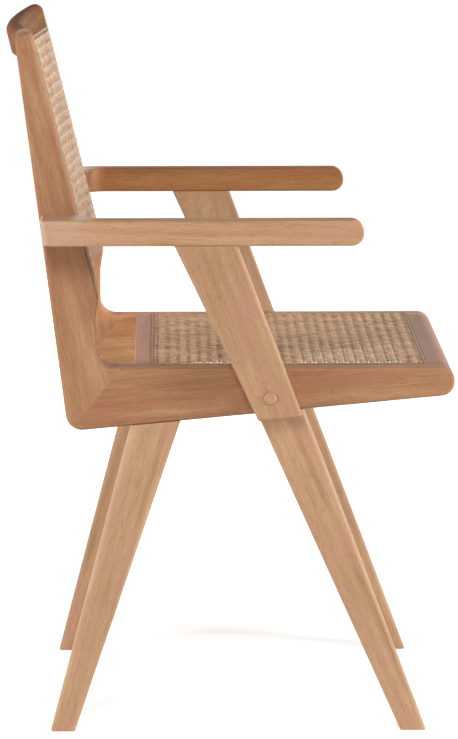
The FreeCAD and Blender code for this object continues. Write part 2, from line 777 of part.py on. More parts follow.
def build_seat_splines():
    top = add(size_of("seat_height"), size_of("spline_rise"))

    def upper_long(edge):
        return lies_at(edge, "z", top) and edge.Length > value(inner)

    for name, y in (("front", less(front_groove, spline_shift)), ("rear", add(rear_groove, spline_shift))):
        body = new_body(f"seat_spline_{name}")
        pad(body, rectangle(body, "XY", "0", y, times(2, spline_end), spline_width, groove_floor),
            spline_height)
        chamfer(body, edge_names(body, upper_long), size_of("spline_ease"))
    length = add(less(rear_groove, front_groove, size_of("groove_width")), times(2, size_of("cane_slit")))
    middle = half(add(rear_groove, front_groove))
    for side in sides:
        body = new_body(f"seat_spline_{side.name}")
        x = side.place(add(side_groove, spline_shift))
        pad(body, rectangle(body, "XY", x, middle, spline_width, length, groove_floor), spline_height)
        chamfer(body, edge_names(body, upper_long), size_of("spline_ease"))


def build_back_splines():
    front = minus(size_of("spline_rise"))
    half_width = half(spline_width)
    for name, up in (("bottom", less(bottom_groove, spline_shift)), ("top", add(top_groove, spline_shift))):
        body = leaning_body(f"back_spline_{name}")
        thick = less(spline_height, times(2, size_of("tenon_fit")))
        pad(body, bowed_band(body, front, thick, spline_end, less(up, half_width)), spline_width)
    length = add(less(top_groove, bottom_groove, size_of("groove_width")), times(2, size_of("cane_slit")))
    middle = half(add(top_groove, bottom_groove))
    rearward = half(add(front, size_of("groove_depth")))
    for side in sides:
        body = leaning_body(f"back_spline_{side.name}")
        x = side.place(add(side_groove, spline_shift))
        pad(body, rectangle(body, "YZ", rearward, middle, spline_height, length, x), spline_width,
            symmetric=True)
        long_front = edge_names(body, lambda e: lies_at(e, "y", front) and not flat_in(e, "z"))
        chamfer(body, long_front, size_of("spline_ease"))


def build_cane():
    reach = less(side_groove, groove_half)
    body = new_body("seat_cane")
    length = less(rear_groove, front_groove, size_of("groove_width"))
    middle = half(add(rear_groove, front_groove))
    pad(body, rectangle(body, "XY", "0", middle, times(2, reach), length, size_of("seat_height")),
        size_of("cane_thick"))
    body = leaning_body("back_cane")
    foot = add(bottom_groove, groove_half)
    pad(body, bowed_band(body, minus(size_of("cane_thick")), size_of("cane_thick"), reach, foot),
        less(top_groove, bottom_groove, size_of("groove_width")))


def build_tenons(side):
    thick = size_of("tenon_thick")
    for leg in legs:
        x = side.place(less(outer, half(size_of("leg_thick"))))
        loose_tenon(f"{leg.name}_leg_tenon_{side.name}", (x, leg.tenon_y, leg.tenon_z),
                    (thick, size_of("leg_tenon_width"), size_of("leg_tenon_length")), "z")
    for name, (y, z) in seat_rail_joints.items():
        loose_tenon(f"seat_{name}_tenon_{side.name}", (side.place(inner), y, z),
                    (size_of("rail_tenon_length"), size_of("rail_tenon_width"), thick), "x")
    for name, up in back_rail_joints.items():
        loose_tenon(f"back_{name}_tenon_{side.name}", (side.place(inner), back_tenon_rearward, up),
                    (size_of("back_tenon_length"), size_of("back_tenon_thick"), size_of("back_tenon_width")),
                    "x", leaning=True)
    loose_tenon(f"arm_tenon_{side.name}", (side.place(outer), *arm_joint),
                (size_of("arm_tenon_length"), size_of("arm_tenon_width"), thick), "x")
    x = side.place(add(outer, arm_centre_out))
    loose_tenon(f"post_tenon_{side.name}", (x, post_joint, arm_underside),
                (thick, size_of("post_tenon_width"), size_of("post_tenon_length")), "z")
    body = new_body(f"mitre_tenon_{side.name}")
    along, across = half(size_of("mitre_tenon_width")), half(size_of("mitre_tenon_length"))
    corners = [mitre_point(a, c) for a, c in ((along, across), (along, minus(across)),
                                              (minus(along), minus(across)), (minus(along), across))]
    x = side.place(less(outer, half(size_of("rail_thick"))))
    pad(body, polygon(body, "YZ", corners, x), thick, symmetric=True)


def build_bolt(side):
    # along X from the joint's outside: button, bolt and, in the rail, its threaded insert
    y, z = size_of("bolt_back"), bolt_height
    face = add(outer, size_of("post_thick"))
    head_floor = less(face, button_seat)
    head_top = add(head_floor, size_of("bolt_head_height"))

    def rod(body, low, high, diameter):
        offset = side.place(half(add(low, high)))
        pad(body, circle(body, "YZ", y, z, diameter, offset), less(high, low), symmetric=True)

    def hexagon_rod(body, low, high, across_flats):
        offset = side.place(half(add(low, high)))
        pad(body, hexagon(body, "YZ", y, z, across_flats, offset), less(high, low), symmetric=True)

    bolt = new_body(f"post_bolt_{side.name}")
    rod(bolt, less(head_floor, size_of("bolt_length")), head_floor, size_of("bolt_diameter"))
    hexagon_rod(bolt, head_floor, head_top, size_of("bolt_head"))
    insert = new_body(f"post_insert_{side.name}")
    hexagon_rod(insert, less(outer, size_of("insert_length")), outer, size_of("insert_width"))
    pocket(insert, circle(insert, "YZ", y, z, size_of("bolt_diameter"), side.place(outer)), beyond)
    button = new_body(f"post_button_{side.name}")
    button_top = add(head_top, size_of("button_length"))
    rod(button, head_top, button_top, less(size_of("button_diameter"), size_of("tenon_fit")))
    chamfer(button, edge_names(button, lambda e: lies_at(e, "x", side.place(button_top))),
            size_of("button_ease"))


for side in sides:
    build_stile(side)
    build_seat_rail(side)
    for leg in legs:
        build_leg(side, leg)
    build_post(side)
    build_arm(side)
    build_tenons(side)
    build_bolt(side)
build_seat_rails()
build_back_rail("top", top_rail_foot, size_of("top_rail_height"), top_groove, crested=True)
build_back_rail("bottom", "0", size_of("bottom_rail_height"), bottom_groove, crested=False)
build_seat_splines()
build_back_splines()
build_cane()

doc.recompute()
failed = [o.Label for o in doc.Objects if "Invalid" in o.State or "Error" in o.State]
bodies = [o for o in doc.Objects if o.TypeId == "PartDesign::Body"]
failed += [b.Label for b in bodies if b.Shape.isNull() or not b.Shape.isValid() or len(b.Shape.Solids) != 1]
if failed:
    raise RuntimeError(f"failed: {sorted(set(failed))}")

os.makedirs("parts", exist_ok=True)
for body in bodies:
    body.Shape.exportStep(f"parts/{body.Label}.step")
print(f"{len(bodies)} sub-parts written")
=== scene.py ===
import math

import bpy
import numpy as np
from mathutils import Matrix, Vector


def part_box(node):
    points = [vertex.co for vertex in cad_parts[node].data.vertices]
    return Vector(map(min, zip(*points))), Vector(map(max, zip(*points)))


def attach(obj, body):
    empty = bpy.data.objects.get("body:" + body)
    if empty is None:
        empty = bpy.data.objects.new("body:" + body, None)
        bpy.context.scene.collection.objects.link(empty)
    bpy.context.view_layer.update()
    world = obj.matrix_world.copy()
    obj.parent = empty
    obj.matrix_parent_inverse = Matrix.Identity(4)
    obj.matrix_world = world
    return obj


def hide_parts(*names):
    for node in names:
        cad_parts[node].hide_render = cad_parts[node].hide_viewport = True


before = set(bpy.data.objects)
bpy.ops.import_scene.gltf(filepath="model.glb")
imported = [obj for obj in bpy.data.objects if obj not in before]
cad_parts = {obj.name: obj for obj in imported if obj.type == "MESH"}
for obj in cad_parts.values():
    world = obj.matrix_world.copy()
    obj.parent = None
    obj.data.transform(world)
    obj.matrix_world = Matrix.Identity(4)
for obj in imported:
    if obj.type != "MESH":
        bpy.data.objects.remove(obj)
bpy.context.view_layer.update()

scene = bpy.context.scene
mm = 0.001
mixShare, mixA, mixB, mixOut = 0, 6, 7, 2  # the Mix node's colour sockets
rangeSockets = ("From Min", "From Max", "To Min", "To Max")
noiseMiddle = 0.5
bevelSamples = 4  # rays that a Bevel node sends to find an arris
print("frame loaded:", len(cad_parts), "nodes")


def linearFromHex(code):
    # the sRGB curve, undone
    channels = [int(code[i:i + 2], 16) / 255 for i in (1, 3, 5)]
    return [c / 12.92 if c <= 0.04045 else ((c + 0.055) / 1.055) ** 2.4 for c in channels] + [1.0]


def setSockets(node, values):
    for socket, value in values.items():
        node.inputs[socket].default_value = value


def addNode(tree, kind, settings=None, links=None, **attributes):
    # settings: socket -> value, links: socket -> output of another node
    node = tree.nodes.new("ShaderNode" + kind)
    for name, value in attributes.items():
        setattr(node, name, value)
    setSockets(node, settings or {})
    for socket, output in (links or {}).items():
        tree.links.new(output, node.inputs[socket])
    return node


def newMaterial(name):
    material = bpy.data.materials.new(name)
    material.use_nodes = True
    tree = material.node_tree
    return material, tree, tree.nodes["Principled BSDF"]


def grainScale(length, width):
    # for grains so many mm long and wide
    return 1 / (length * mm), 1 / (width * mm), 1 / (width * mm)


oiledTeak = {
    "ringSpacing": 6.5,      # mm between growth rings, wide enough to read from across a room
    "ringStray": 12.0,       # mm that the rings wander
    "ringDetail": 2.0,
    "lineDetail": 0.0,
    "pithAside": (70, 45),   # mm from the board's middle to the tree's heart
    "pithTiltDeg": 1.6,      # a board is never sawn quite true to the trunk
    "turn": (0.7, 1.9, 0.37),  # radians round the grain: all boards, a left one, each letter of a name
    "lineSpacing": 24,       # mm, about, between the dark lines that slow years leave
    "veins": {               # mm long, mm wide, detail: fibres and pores drawn coarser, to show
        "wander": (380, 40, 2.0),
        "cloud": (260, 30, 2.0),
        "blush": (120, 26, 2.0),
        "fibre": (30, 1.4, 3.0),
        "streak": (22, 1.5, 1.0),
        "pore": (9, 1.1, 1.0),
    },
    "veinRoughness": 0.55,
    "figure": {              # noise from, to, and how far that moves the colour from dark to light
        "ring": (0.3, 0.7, 0.0, 0.24),
        "cloud": (0.3, 0.7, 0.0, 0.62),
        "fibre": (0.3, 0.7, -0.16, 0.28),
    },
    "overlays": {            # where each colour starts to cover, where it is full, and its strength
        "blush": (0.44, 0.66, 0.85),
        "line": (0.035, 0.004, 0.11),
        "streak": (0.6, 0.74, 0.15),
        "pore": (0.56, 0.74, 0.34),
        "cutEnd": (0.75, 0.97, 0.5),
        "arris": (0.985, 0.93, 0.6),
    },
    "stainDepth": 0.5,       # lines and pores, as a share of the board's dark colour
    "arrisHighlightLift": 1.25,       # painted highlight on the arrises, with a little real rubbing: a multiple of its light colour
    "easedEdge": 2.2,        # mm, the hand-sanded round on every arris
    "roughness": (0.25, 0.75, 0.48, 0.68),  # fibre noise from, to, and the roughness there
    "bump": (0.12, 0.3),     # strength, and mm high
    "ior": 1.5,
    "heelPolish": (120, 150, 1.0),  # mm along an arm from its middle, and the gloss hands leave there
    "polishRoughness": 0.5,
}
boardTones = {  # dark, light, rosy and cut-end colours of one board, and how much its oil shines
    "frame": ("#8C6042", "#B38B68", "#9E6D52", "#8C6042", 0.06),
    # lit copy of the frame for the left boards: painted light on the far side's shaded faces
    "litFarFrame": ("#9F704B", "#CDA076", "#C08764", "#9F704B", 0.06),
    "arm": ("#9A724F", "#C29D79", "#B48A70", "#9A724F", 0.02),
    # shaded copy of the arm for the left one: painted shade, darker and redder
    "shadedFarArm": ("#815330", "#A87B53", "#9C6847", "#815330", 0.02),
    "post": ("#916946", "#B6906B", "#A97F63", "#916946", 0.35),
    "leg": ("#966E4D", "#BF9973", "#B08569", "#966E4D", 0.4),
    # a little darker copy of the leg for the left ones: painted shade
    "shadedFarLeg": ("#946E4E", "#BC9873", "#AD836A", "#946E4E", 0.15),
    "seatRail": ("#7E543A", "#9F7559", "#93654F", "#7E543A", 0.15),
    "rearRail": ("#986645", "#C18E6A", "#B27B5E", "#986645", 0.15),
    "crest": ("#6E4831", "#8C6A50", "#86543D", "#C8A488", 0.002),  # darker than the other boards, partly painted shade; its cut ends painted paler against the shade above the stiles
    "plug": ("#8E6446", "#B28A67", "#AA7A60", "#8E6446", 0.5),
}


def makeOiledTeak(name, along, middle, tone, turn, polished):
    # oiled teak, planed and sanded: long soft grain, rosy and straw patches, low sheen, a painted
    # highlight on the arrises
    material, tree, shader = newMaterial(name)
    wood = oiledTeak
    # the board's own axes, along the grain and across it, counted from the tree's heart
    along = Vector(along).normalized()
    side = along.orthogonal().normalized()
    side.rotate(Matrix.Rotation(turn, 3, along))
    grain = along.copy()
    grain.rotate(Matrix.Rotation(math.radians(wood["pithTiltDeg"]), 3, side))
    side = grain.cross(side).cross(grain).normalized()
    toBoard = Matrix((grain, side, grain.cross(side)))
    heart = Vector((0, *(aside * mm for aside in wood["pithAside"])))
    place = addNode(tree, "TexCoord")
    board = addNode(tree, "Mapping",
                    {"Rotation": toBoard.to_euler(), "Location": heart - toBoard @ Vector(middle)},
                    {"Vector": place.outputs["Object"]})
    veins = {}
    for vein, (length, width, detail) in wood["veins"].items():
        scaled = addNode(tree, "Mapping", {"Scale": grainScale(length, width)},
                         {"Vector": board.outputs["Vector"]})
        noise = addNode(tree, "TexNoise",
                        {"Scale": 1.0, "Detail": detail, "Roughness": wood["veinRoughness"]},
                        {"Vector": scaled.outputs["Vector"]})
        veins[vein] = noise.outputs["Fac"]
    # growth rings: years from the heart, a little astray
    across = addNode(tree, "VectorMath", {1: (0, 1, 1)}, {0: board.outputs["Vector"]},
                     operation="MULTIPLY")
    fromHeart = addNode(tree, "VectorMath", {}, {0: across.outputs["Vector"]}, operation="LENGTH")
    astray = addNode(tree, "Math", {1: wood["ringStray"] * mm},
                     {0: veins["wander"], 2: fromHeart.outputs["Value"]}, operation="MULTIPLY_ADD")
    years = addNode(tree, "Math", {1: 1 / (wood["ringSpacing"] * mm)}, {0: astray.outputs[0]},
                    operation="MULTIPLY")
    rings = addNode(tree, "TexNoise", {"Scale": 1.0, "Detail": wood["ringDetail"]},
                    {"W": years.outputs[0]}, noise_dimensions="1D")
    veins["ring"] = rings.outputs["Fac"]
    # rings, clouds and fibres together move the colour between the board's dark and light
    *codes, shine = boardTones[tone]
    dark, light, rosy, cutEnd = (linearFromHex(code) for code in codes)
    figure = None
    for vein, span in wood["figure"].items():
        share = addNode(tree, "MapRange", dict(zip(rangeSockets, span)), {"Value": veins[vein]},
                        clamp=False)
        figure = share if figure is None else addNode(
            tree, "Math", {}, {0: figure.outputs[0], 1: share.outputs[0]}, operation="ADD",
            use_clamp=True)
    colour = addNode(tree, "Mix", {mixA: dark, mixB: light}, {mixShare: figure.outputs[0]},
                     data_type="RGBA")
    # a dark line runs where the slow noise passes its middle
    slowYears = addNode(tree, "TexNoise",
                        {"Scale": wood["ringSpacing"] / wood["lineSpacing"],
                         "Detail": wood["lineDetail"]},
                        {"W": years.outputs[0]}, noise_dimensions="1D")
    offLine = addNode(tree, "Math", {1: noiseMiddle}, {0: slowYears.outputs["Fac"]},
                      operation="SUBTRACT")
    lineGap = addNode(tree, "Math", {}, {0: offLine.outputs[0]}, operation="ABSOLUTE")
    # cut ends take their own colour, and arrises are painted paler as a highlight, with a little real
    # rubbing besides
    facing = addNode(tree, "VectorMath", {1: along}, {0: place.outputs["Normal"]},
                     operation="DOT_PRODUCT")
    endOn = addNode(tree, "Math", {}, {0: facing.outputs["Value"]}, operation="ABSOLUTE")
    surface = addNode(tree, "NewGeometry")
    eased = addNode(tree, "Bevel", {"Radius": wood["easedEdge"] * mm}, samples=bevelSamples)
    flatness = addNode(tree, "VectorMath", {},
                       {0: eased.outputs["Normal"], 1: surface.outputs["Normal"]},
                       operation="DOT_PRODUCT")
    stain = [c * wood["stainDepth"] for c in dark[:3]] + [1.0]
    # painted highlight along the arrises: the board's light colour, lifted
    paintedArrisHighlight = [min(1.0, c * wood["arrisHighlightLift"]) for c in light[:3]] + [1.0]
    overlays = {  # colour, and what decides where it lies
        "blush": (rosy, veins["blush"]),
        "line": (stain, lineGap.outputs[0]),
        "streak": (stain, veins["streak"]),
        "pore": (stain, veins["pore"]),
        "cutEnd": (cutEnd, endOn.outputs[0]),
        "arris": (paintedArrisHighlight, flatness.outputs["Value"]),
    }
    for overlay, (laid, source) in overlays.items():
        start, full, strength = wood["overlays"][overlay]
        share = addNode(tree, "MapRange", dict(zip(rangeSockets, (start, full, 0.0, strength))),
                        {"Value": source})
        colour = addNode(tree, "Mix", {mixB: laid},
                         {mixShare: share.outputs[0], mixA: colour.outputs[mixOut]}, data_type="RGBA")
    tree.links.new(colour.outputs[mixOut], shader.inputs["Base Color"])
    rough = addNode(tree, "MapRange", dict(zip(rangeSockets, wood["roughness"])),
                    {"Value": veins["fibre"]})
    tree.links.new(rough.outputs[0], shader.inputs["Roughness"])
    strength, high = wood["bump"]
    bump = addNode(tree, "Bump", {"Strength": strength, "Distance": high * mm},
                   {"Height": veins["fibre"], "Normal": eased.outputs["Normal"]})
    tree.links.new(bump.outputs["Normal"], shader.inputs["Normal"])
    setSockets(shader, {"IOR": wood["ior"], "Specular IOR Level": shine})
    if polished:
        start, full, gloss = wood["heelPolish"]
        onBoard = addNode(tree, "SeparateXYZ", {}, {0: board.outputs["Vector"]})
        polish = addNode(tree, "MapRange",
                         dict(zip(rangeSockets, (start * mm, full * mm, 0.0, gloss))),
                         {"Value": onBoard.outputs["X"]})
        tree.links.new(polish.outputs[0], shader.inputs["Coat Weight"])
        setSockets(shader, {"Coat Roughness": wood["polishRoughness"]})
    return material


back = {
    "leanDeg": 13.76,
    "kneeBack": 156.5,    # mm, where the lean starts
    "kneeHeight": 531.0,
    "bow": 18.0,          # mm deep
    "halfSpan": 196.0,    # mm, half the bow's width
    "caneFoot": 29.5,     # mm up the lean, the cane's lower groove
    "caneTop": 295.0,     # and its upper one
}
leanSin = math.sin(math.radians(back["leanDeg"]))
leanCos = math.cos(math.radians(back["leanDeg"]))
woodRuns = {  # node's first words: grain direction, board tone, and for a pair the left one's tone, the far side's copy, painted lighter for the frame and darker for arms and legs
    "back_stile": ((0, leanSin, leanCos), "frame", "litFarFrame"),
    "seat_rail": ((0, 1, -0.06), "frame", "litFarFrame"),
    "arm_post": ((0, 0.36, 0.93), "post", "post"),
    "arm": ((0, 1, 0), "arm", "shadedFarArm"),
    "front_leg": ((0, 0.39, 0.92), "leg", "shadedFarLeg"),
    "rear_leg": ((0, -0.28, 0.96), "leg", "shadedFarLeg"),
    "seat_front_rail": ((1, 0, 0), "seatRail", None),
    "seat_rear_rail": ((1, 0, 0), "rearRail", None),
    "back_top_rail": ((1, 0, 0), "crest", None),
    "back_bottom_rail": ((1, 0, 0), "seatRail", None),
    "post_button": ((0, 0.36, 0.93), "plug", "plug"),
}


def middleOf(node):
    low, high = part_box(node)
    return (low + high) / 2


def dress(node, material):
    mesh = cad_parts[node].data
    mesh.materials.clear()
    mesh.materials.append(material)


for words, (along, tone, leftTone) in woodRuns.items():
    boards = {words + "_right": tone, words + "_left": leftTone} if leftTone else {words: tone}
    for number, (node, boardTone) in enumerate(boards.items()):
        base, more, perLetter = oiledTeak["turn"]
        turn = base + more * number + perLetter * len(words)
        teak = makeOiledTeak("oiledTeak_" + node, along, middleOf(node), boardTone, turn,
                             polished=words == "arm")
        dress(node, teak)
print("oiled teak done:", len(woodRuns), "kinds of board")

beech = {
    "colours": ("#C9A27C", "#DDBE9B"),
    "fleck": (9, 0.8),    # mm long and wide
    "detail": 2.0,
    "bump": (0.1, 0.2),   # strength, and mm high
    "roughness": 0.62,
    "ior": 1.5,
}


def makeBeech():
    # beech, planed only: pale, matt, with short flecks
    material, tree, shader = newMaterial("planedBeech")
    place = addNode(tree, "TexCoord")
    scaled = addNode(tree, "Mapping", {"Scale": grainScale(*beech["fleck"])},
                     {"Vector": place.outputs["Object"]})
    fleck = addNode(tree, "TexNoise", {"Scale": 1.0, "Detail": beech["detail"]},
                    {"Vector": scaled.outputs["Vector"]})
    dark, light = (linearFromHex(code) for code in beech["colours"])
    colour = addNode(tree, "Mix", {mixA: dark, mixB: light}, {mixShare: fleck.outputs["Fac"]},
                     data_type="RGBA")
    tree.links.new(colour.outputs[mixOut], shader.inputs["Base Color"])
    strength, high = beech["bump"]
    bump = addNode(tree, "Bump", {"Strength": strength, "Distance": high * mm},
                   {"Height": fleck.outputs["Fac"]})
    tree.links.new(bump.outputs["Normal"], shader.inputs["Normal"])
    setSockets(shader, {"Roughness": beech["roughness"], "IOR": beech["ior"]})
    return material


zincSteel = {
    "colours": ("#A9ABAA", "#C6C7C4"),
    "cloud": (2.5, 2.0),        # mm, detail
    "roughness": (0.28, 0.45),
}


def makeZincSteel():
    # bright zinc on turned steel: cool grey, faint cloudy patches in the gloss
    material, tree, shader = newMaterial("zincPlatedSteel")
    place = addNode(tree, "TexCoord")
    size, detail = zincSteel["cloud"]
    cloud = addNode(tree, "TexNoise", {"Scale": 1 / (size * mm), "Detail": detail},
                    {"Vector": place.outputs["Object"]})
    dark, light = (linearFromHex(code) for code in zincSteel["colours"])
    colour = addNode(tree, "Mix", {mixA: dark, mixB: light}, {mixShare: cloud.outputs["Fac"]},
                     data_type="RGBA")
    tree.links.new(colour.outputs[mixOut], shader.inputs["Base Color"])
    low, high = zincSteel["roughness"]
    rough = addNode(tree, "MapRange", {"To Min": low, "To Max": high}, {"Value": cloud.outputs["Fac"]})
    tree.links.new(rough.outputs[0], shader.inputs["Roughness"])
    setSockets(shader, {"Metallic": 1.0})
    return material


planedBeech, zincPlatedSteel = makeBeech(), makeZincSteel()
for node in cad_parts:
    if "tenon" in node:
        dress(node, planedBeech)
    if "bolt" in node or "insert" in node:
        dress(node, zincPlatedSteel)
print("tenons and fixings done")

cane = {
    "pitch": 12.7,        # mm from one pair of strands to the next
    "pairGap": 2.9,       # mm between the middles of a pair
    "strand": 2.55,       # mm wide
    "diagonal": 2.9,      # mm wide
    "thick": 0.66,        # mm
    "section": ((-0.5, -0.5), (-0.46, 0.12), (-0.2, 0.5), (0.2, 0.5), (0.46, 0.12), (0.5, -0.5)),
    "crossLift": 0.32,    # mm that a pair's strand rises over its crossing
    "diagonalLift": 0.62,
    "settled": 0.33,      # of a pitch, from a crossing to where a strand lies level again
    "hold": 1.35,         # above 1, a diagonal stays level over a pair before it dives
    "clearance": 0.04,    # mm under the lowest strand
    "steps": 8,           # points in one pitch
    "edgePress": 0.55,    # what is left of the weave's height where it enters the groove
    "edgeReach": 9.0,     # mm over which it is pressed down
    "tuck": ((0.3, 0.2), (0.5, -0.6), (0.5, -2.6)),  # mm past the edge and above it, beside the spline
    "seatShadedColours": ("#98704E", "#CEAB88"),   # painted shade: darker than the back, the same cane in less light
    "backColours": ("#A38165", "#C5AB90"),
    "crossShadedColours": ("#8A6D55", "#A79179"),  # the back's crosswise strands, painted darker than its other strands to even out the weave's light and shade bands
    "speckAndHoleShadeColour": "#8A6340",
    "patch": (22, 3.0),   # mm, detail
    "speck": (1.6, 2.0),  # coarser than real so that it shows; also painted shade for the dark holes of the weave
    "ownTone": 0.8,       # how far strands differ
    "blotch": (0.3, 0.7, -0.05, 0.35),  # patch noise from, to, and the tone there
    "specks": (0.56, 0.7, 0.0, 0.45),
    "bump": (0.15, 0.1),  # strength, and mm high
    "roughness": 0.5,
    "shine": 0.2,
    "ior": 1.5,
}


def makeCane(name, colours):
    # split rattan skin, woven: pale straw, each strand its own tone, a waxy shine on its round back
    material, tree, shader = newMaterial(name)
    place = addNode(tree, "TexCoord")
    geometry = addNode(tree, "NewGeometry")
    patch, speck = (addNode(tree, "TexNoise", {"Scale": 1 / (size * mm), "Detail": detail},
                            {"Vector": place.outputs["Object"]})
                    for size, detail in (cane["patch"], cane["speck"]))
    dark, light = (linearFromHex(code) for code in colours)
    own = addNode(tree, "Math", {1: cane["ownTone"]}, {0: geometry.outputs["Random Per Island"]},
                  operation="MULTIPLY")
    blotch = addNode(tree, "MapRange", dict(zip(rangeSockets, cane["blotch"])),
                     {"Value": patch.outputs["Fac"]})
    tone = addNode(tree, "Math", {}, {0: own.outputs[0], 1: blotch.outputs[0]}, operation="ADD",
                   use_clamp=True)
    colour = addNode(tree, "Mix", {mixA: dark, mixB: light}, {mixShare: tone.outputs[0]},
                     data_type="RGBA")
    # dark specks: the cane's own marks, and painted shade standing for the dark holes between strands
    specks = addNode(tree, "MapRange", dict(zip(rangeSockets, cane["specks"])),
                     {"Value": speck.outputs["Fac"]})
    spotted = addNode(tree, "Mix", {mixB: linearFromHex(cane["speckAndHoleShadeColour"])},
                      {mixShare: specks.outputs[0], mixA: colour.outputs[mixOut]}, data_type="RGBA")
    tree.links.new(spotted.outputs[mixOut], shader.inputs["Base Color"])
    strength, high = cane["bump"]
    bump = addNode(tree, "Bump", {"Strength": strength, "Distance": high * mm},
                   {"Height": speck.outputs["Fac"]})
    tree.links.new(bump.outputs["Normal"], shader.inputs["Normal"])
    setSockets(shader, {"Roughness": cane["roughness"], "Specular IOR Level": cane["shine"],
                        "IOR": cane["ior"]})
    return material


def overUnder(place):
    # height of a pair's strand along its run, -1 to 1: under one of the crossing pair, over the other
    u = (place / cane["pitch"] + 0.5) % 1.0 - 0.5
    size = np.abs(u)
    peak, settled = cane["pairGap"] / 2 / cane["pitch"], cane["settled"]
    rising = np.sin(0.5 * np.pi * size / peak)
    falling = np.cos(0.5 * np.pi * np.clip((size - peak) / (settled - peak), 0, 1))
    return np.sign(u) * np.where(size < peak, rising, falling)


def overPairs(place):
    # height of a diagonal strand: 1 over the pairs at whole pitches, -1 under those it meets between
    return np.clip(cane["hold"] * np.cos(2 * np.pi * place / cane["pitch"]), -1, 1)


def panelStrands(width, length):
    # family, places across and along, heights and strand width of each strand, in mm from the middle
    pitch, half, strand = cane["pitch"], cane["pairGap"] / 2, cane["strand"]
    step = pitch / cane["steps"]
    countAcross, countAlong = int(width / 2 / pitch) + 1, int(length / 2 / pitch) + 1

    def run(low, high, fewest):
        return np.linspace(low, high, max(fewest, int(round((high - low) / step)) + 1))

    strands = []
    for i in range(-countAcross, countAcross + 1):
        for sign in (-1, 1):
            at = i * pitch + sign * half
            if abs(at) < width / 2 - strand / 2:
                v = run(-length / 2, length / 2, 2)
                height = -sign * cane["crossLift"] * overUnder(v)
                strands.append(("lengthwise", np.full_like(v, at), v, height, strand))
    for j in range(-countAlong, countAlong + 1):
        for sign in (-1, 1):
            at = j * pitch + sign * half
            if abs(at) < length / 2 - strand / 2:
                u = run(-width / 2, width / 2, 2)
                height = sign * cane["crossLift"] * overUnder(u)
                strands.append(("crosswise", u, np.full_like(u, at), height, strand))
    reach = int((width + length) / 2 / pitch) + 1
    for k in range(-reach, reach):
        shift = (k + 0.5) * pitch
        for family, slope in (("diagonal_left", 1), ("diagonal_right", -1)):
            # along = slope * (across - shift), kept inside the panel
            ends = sorted(shift - slope * length / 2 * s for s in (-1, 1))
            low, high = max(-width / 2, ends[0]), min(width / 2, ends[1])
            if high - low > pitch / 2:
                u = run(low, high, 3)
                height = slope * cane["diagonalLift"] * overPairs(u)
                strands.append((family, u, slope * (u - shift), height, cane["diagonal"]))
    return strands


def weavePanel(node, width, length, place, skin, crossShadedSkin):
    # place(across, along, height), in mm, gives points in metres and the surface's own up direction
    lift = cane["diagonalLift"] + cane["thick"] / 2 + cane["clearance"]
    tucks, sides = len(cane["tuck"]), len(cane["section"])
    pieces = {}
    for family, u, v, height, strandWidth in panelStrands(width, length):
        inside = np.minimum(width / 2 - np.abs(u), length / 2 - np.abs(v))
        press = cane["edgePress"] + (1 - cane["edgePress"]) * np.clip(inside / cane["edgeReach"], 0, 1)
        flat, up = place(u, v, np.zeros_like(u))
        side = np.cross(np.gradient(flat, axis=0), up)
        side /= np.linalg.norm(side, axis=1, keepdims=True)
        side = np.pad(side, ((tucks, tucks), (0, 0)), mode="edge")
        run = list(zip(u, v, (height + lift) * press))
        for end, inner in ((0, 1), (-1, -2)):
            # rounded, so that a strand along one axis has no sign in the other
            outward = np.sign(np.round((u[end] - u[inner], v[end] - v[inner]), 6))
            tucked = [(u[end] + past * outward[0], v[end] + past * outward[1], high)
                      for past, high in cane["tuck"]]
            run = tucked[::-1] + run if end == 0 else run + tucked
        points = place(*np.array(run).T)[0]
        tangent = np.gradient(points, axis=0)
        tangent /= np.linalg.norm(tangent, axis=1, keepdims=True)
        rise = np.cross(side, tangent)
        rows = [points + a * strandWidth * mm * side + b * cane["thick"] * mm * rise
                for a, b in cane["section"]]
        vertices, faces = pieces.setdefault(family, ([], []))
        start, count = sum(len(part) for part in vertices), len(points)
        vertices.append(np.stack(rows, axis=1).reshape(-1, 3))
        for i in range(count - 1):
            for j in range(sides):
                a, b = start + i * sides + j, start + i * sides + (j + 1) % sides
                faces.append((a, b, b + sides, a + sides))
        faces.append(tuple(start + j for j in reversed(range(sides))))
        faces.append(tuple(start + (count - 1) * sides + j for j in range(sides)))
    for family, (vertices, faces) in pieces.items():
        mesh = bpy.data.meshes.new(f"{node}_{family}")
        mesh.from_pydata(np.concatenate(vertices).tolist(), [], faces)
        mesh.shade_smooth()
        mesh.materials.append(crossShadedSkin if family == "crosswise" else skin)
        piece = bpy.data.objects.new(mesh.name, mesh)
        scene.collection.objects.link(piece)
        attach(piece, "root")
        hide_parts(node)
        print(piece.name, len(mesh.polygons), "faces")


# the seat's cane painted darker than the back's, as shade
seatShadedSkin = makeCane("wovenRattanSkin_seatShaded", cane["seatShadedColours"])
backSkin = makeCane("wovenRattanSkin_back", cane["backColours"])
# the back's crosswise strands painted darker, as shade over their lit bands
crossShadedSkin = makeCane("wovenRattanSkin_crossShaded", cane["crossShadedColours"])
seatLow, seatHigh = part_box("seat_cane")
seatMiddle = (seatLow + seatHigh) / 2


def onSeat(u, v, height):
    points = [seatMiddle.x + u * mm, seatMiddle.y + v * mm, seatLow.z + height * mm]
    return np.stack(points, axis=1), np.tile([0.0, 0.0, 1.0], (len(u), 1))


weavePanel("seat_cane", (seatHigh.x - seatLow.x) / mm, (seatHigh.y - seatLow.y) / mm, onSeat,
           seatShadedSkin, seatShadedSkin)

bowRadius = (back["halfSpan"] ** 2 + back["bow"] ** 2) / 2 / back["bow"]
backLow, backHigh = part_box("back_cane")


